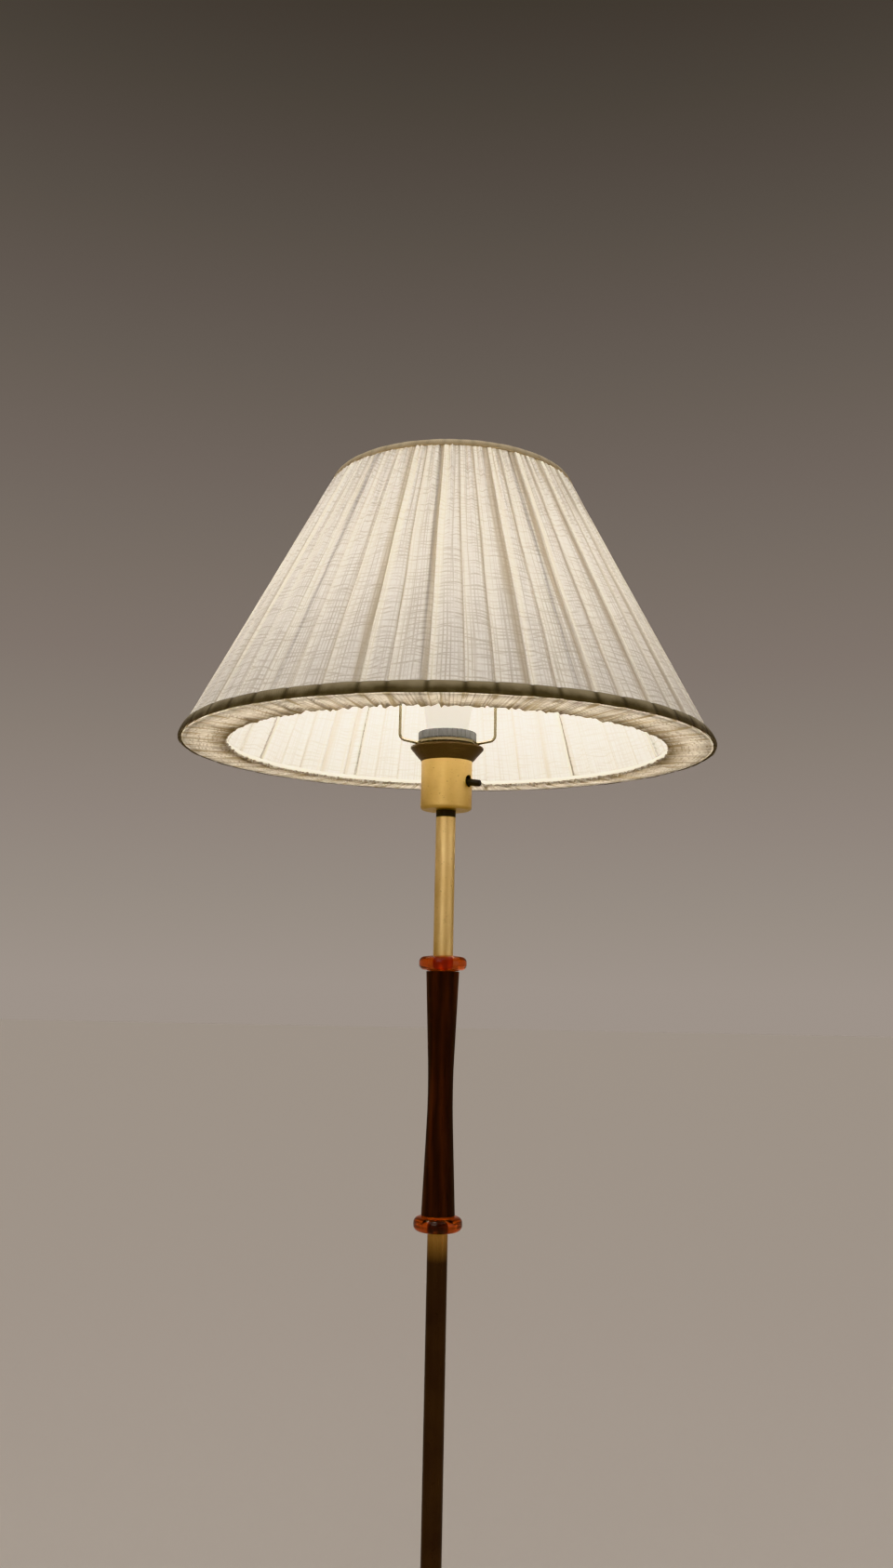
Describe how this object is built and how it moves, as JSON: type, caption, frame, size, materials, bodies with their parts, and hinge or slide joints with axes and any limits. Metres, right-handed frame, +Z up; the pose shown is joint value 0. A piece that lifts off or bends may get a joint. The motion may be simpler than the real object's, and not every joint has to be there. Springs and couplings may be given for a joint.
{
  "type": "floor lamp",
  "caption": "Upright brass floor lamp with a weighted base, turned wooden grip between amber collars, switched lampholder and an open pleated shade on a harp.",
  "frame": {"origin": "on the floor at the centre of the base, under the column", "axes": "+Z up along the column; the harp's two wires stand in the XZ plane; -Y is the front; the cord inlet faces +Y"},
  "size_m": [0.4758, 0.4758, 1.45],
  "materials": {
    "felt": "matte felt",
    "iron": "black lacquered casting",
    "brass": "lacquered, lightly aged",
    "brass_spun": "satin spun sheet",
    "steel": "zinc plated",
    "amber": "clear amber acrylic",
    "teak": "oiled dark reddish wood",
    "black_plastic": "satin black",
    "bakelite": "moulded",
    "ceramic": "glazed",
    "grey_plastic": "satin grey",
    "bulb_white": "opal white",
    "bulb_diffuser": "opal diffuser",
    "board": "satin",
    "nickel": "nickel plated",
    "white_wire": "white enamelled wire",
    "linen": "gathered cream linen",
    "tan_piping": "tan braid",
    "olive_piping": "dark olive-brown piping",
    "lead_white": "round flexible lead"
  },
  "bodies": {
    "stand": {"base_felt_pad": "felt", "base_weight": "iron", "base_cover": "brass_spun", "lampholder_cover": "brass_spun", "flared_collar": "brass_spun", "base_neck_ring": "brass", "lower_tube": "brass", "upper_tube": "brass", "upper_collar_bush": "brass", "harp_saddle": "brass", "harp_left_wire": "brass", "harp_right_wire": "brass", "harp_foot_ring": "brass", "screw_shell": "brass", "centre_contact": "brass", "switch_contact_bridge": "brass", "lower_tube_foot_plug": "brass", "lower_tube_head_plug": "brass", "upper_tube_foot_plug": "brass", "upper_tube_head_plug": "brass", "base_nut": "steel", "base_washer": "steel", "base_threaded_pipe": "steel", "grip_threaded_pipe": "steel", "top_nipple": "steel", "lampholder_lock_nut": "steel", "switch_pivot_pin": "steel", "terminal_screws": "steel", "lampholder_terminal_screws": "steel", "lower_amber_collar": "amber", "upper_amber_collar": "amber", "wood_grip": "teak", "spacer_bush": "black_plastic", "lower_collar_bush": "black_plastic", "cord_gland": "black_plastic", "collar_gasket": "black_plastic", "lampholder_cap": "bakelite", "switch_housing": "bakelite", "lampholder_sleeve": "bakelite", "lampholder_insert": "ceramic", "terminal_block": "ceramic", "shade_ring_nut": "grey_plastic", "inner_lead": "lead_white"},
    "shade": {"shade_top_ring": "white_wire", "shade_bottom_ring": "white_wire", "shade_inner_ring": "white_wire", "shade_ribs": "white_wire", "shade_spider": "white_wire", "shade_fabric": "linen", "shade_underside_fabric": "linen", "shade_top_trim": "tan_piping", "shade_bottom_trim": "olive_piping"},
    "switch": {"switch_lever": "black_plastic"},
    "bulb": {"bulb_cap_insulator": "bakelite", "bulb_housing": "bulb_white", "bulb_globe": "bulb_diffuser", "bulb_led_board": "board", "bulb_screw_cap": "nickel", "bulb_tip_contact": "nickel"},
    "finial": {"finial": "brass"}
  },
  "joints": [
    {"name": "shade_swivel", "type": "hinge", "parent": "stand", "child": "shade", "pos_m": [0, 0, 1.434], "axis": [0, 0, 1], "continuous": true},
    {"name": "switch_toggle", "type": "hinge", "parent": "stand", "child": "switch", "pos_m": [0.01522, -0.00844, 1.1722], "axis": [-0.4848, -0.8746, 0], "range_deg": [0, 18]},
    {"name": "bulb_unscrew", "type": "slide", "parent": "stand", "child": "bulb", "axis": [0, 0, 1], "range_m": [0, 0.03]},
    {"name": "finial_unscrew", "type": "slide", "parent": "stand", "child": "finial", "axis": [0, 0, 1], "range_m": [0, 0.008]}
  ]
}
